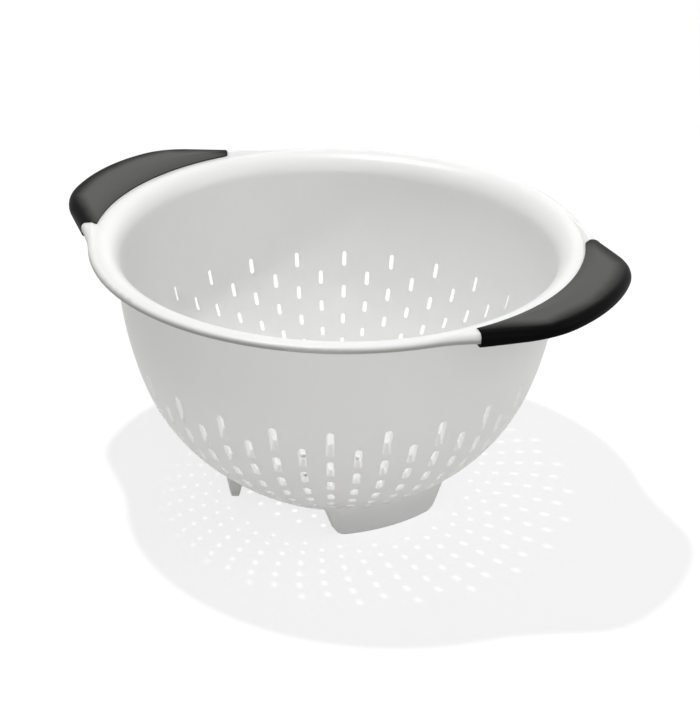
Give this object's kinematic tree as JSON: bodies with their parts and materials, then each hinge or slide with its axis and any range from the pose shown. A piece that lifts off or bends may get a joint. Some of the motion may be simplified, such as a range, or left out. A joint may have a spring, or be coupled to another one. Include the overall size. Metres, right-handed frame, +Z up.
{
  "type": "colander",
  "caption": "Round kitchen colander: a deep slotted bowl with a flared rim, a perforated floor, curved plate feet and two rounded, slightly raised handles with soft grips.",
  "frame": {"origin": "on the bowl's axis, on the table that the feet stand on", "axes": "+Z up along the bowl's axis, +X through the middle of one handle, +Y across the handles"},
  "size_m": [0.3338, 0.2792, 0.161],
  "materials": {
    "shell": "satin",
    "grip": "matte"
  },
  "bodies": {
    "root": {"bowl": "shell", "grip_right": "grip", "grip_left": "grip"}
  },
  "joints": []
}
